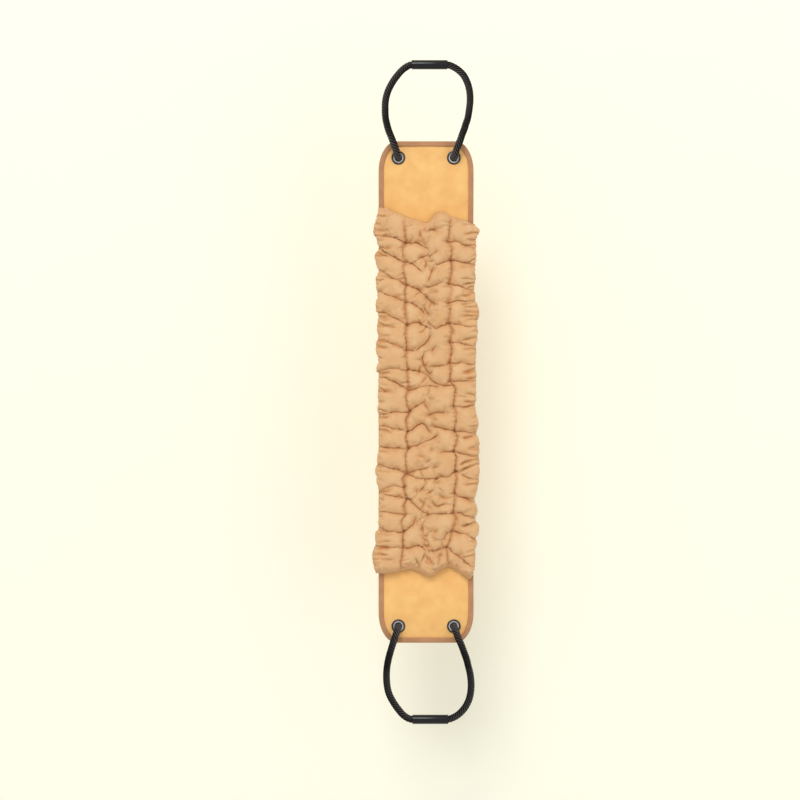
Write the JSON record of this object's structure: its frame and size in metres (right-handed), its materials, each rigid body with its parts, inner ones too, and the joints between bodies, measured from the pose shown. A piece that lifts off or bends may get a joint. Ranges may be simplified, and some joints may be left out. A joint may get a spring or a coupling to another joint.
{
  "type": "loofah back scrubber",
  "caption": "Padded back scrubber strap with a gathered mesh ruffle on its front and a black rope loop at each end.",
  "frame": {"origin": "centre of the strap's footprint, on the surface that it lies on", "axes": "+Y along the strap towards its upper loop, +X across it to the right seen from the front, +Z out of its front, the ruffled side"},
  "size_m": [0.142, 0.926, 0.0437],
  "materials": {
    "panel_cloth": "satin",
    "back_cloth": "satin",
    "foam": "matte",
    "binding_tape": "matte",
    "ruffle_mesh": "matte",
    "thread": "satin",
    "rope": "satin",
    "sleeve_plastic": "gloss",
    "eyelet_metal": "gloss",
    "washer_metal": "satin"
  },
  "bodies": {
    "pad_middle": {"front_panel_middle": "panel_cloth", "foam_core_middle": "foam", "back_panel_middle": "back_cloth", "edge_binding_middle_right": "binding_tape", "edge_binding_middle_left": "binding_tape", "ruffle_middle": "ruffle_mesh", "seam_thread_middle_left": "thread", "seam_thread_middle_right": "thread"},
    "pad_upper": {"front_panel_upper": "panel_cloth", "foam_core_upper": "foam", "back_panel_upper": "back_cloth", "edge_binding_upper": "binding_tape", "ruffle_upper": "ruffle_mesh", "rope_crossing_upper": "rope", "eyelet_upper_left": "eyelet_metal", "washer_upper_left": "washer_metal", "seam_thread_upper_left": "thread", "eyelet_upper_right": "eyelet_metal", "washer_upper_right": "washer_metal", "seam_thread_upper_right": "thread"},
    "pad_lower": {"front_panel_lower": "panel_cloth", "foam_core_lower": "foam", "back_panel_lower": "back_cloth", "edge_binding_lower": "binding_tape", "ruffle_lower": "ruffle_mesh", "rope_crossing_lower": "rope", "eyelet_lower_left": "eyelet_metal", "washer_lower_left": "washer_metal", "seam_thread_lower_left": "thread", "eyelet_lower_right": "eyelet_metal", "washer_lower_right": "washer_metal", "seam_thread_lower_right": "thread"},
    "handle_upper": {"upper_rope_sleeve": "sleeve_plastic", "upper_rope_left": "rope", "upper_rope_right": "rope"},
    "handle_lower": {"lower_rope_sleeve": "sleeve_plastic", "lower_rope_left": "rope", "lower_rope_right": "rope"}
  },
  "joints": [
    {"name": "upper_flex", "type": "hinge", "parent": "pad_middle", "child": "pad_upper", "pos_m": [0, 0.116, 0.00555], "axis": [1, 0, 0], "range_deg": [-35, 35]},
    {"name": "lower_flex", "type": "hinge", "parent": "pad_middle", "child": "pad_lower", "pos_m": [0, -0.116, 0.00555], "axis": [-1, 0, 0], "range_deg": [-35, 35]},
    {"name": "upper_handle_swing", "type": "hinge", "parent": "pad_upper", "child": "handle_upper", "pos_m": [0, 0.325, 0.032], "axis": [1, 0, 0], "range_deg": [0, 155]},
    {"name": "lower_handle_swing", "type": "hinge", "parent": "pad_lower", "child": "handle_lower", "pos_m": [0, -0.325, 0.032], "axis": [-1, 0, 0], "range_deg": [0, 155]}
  ]
}
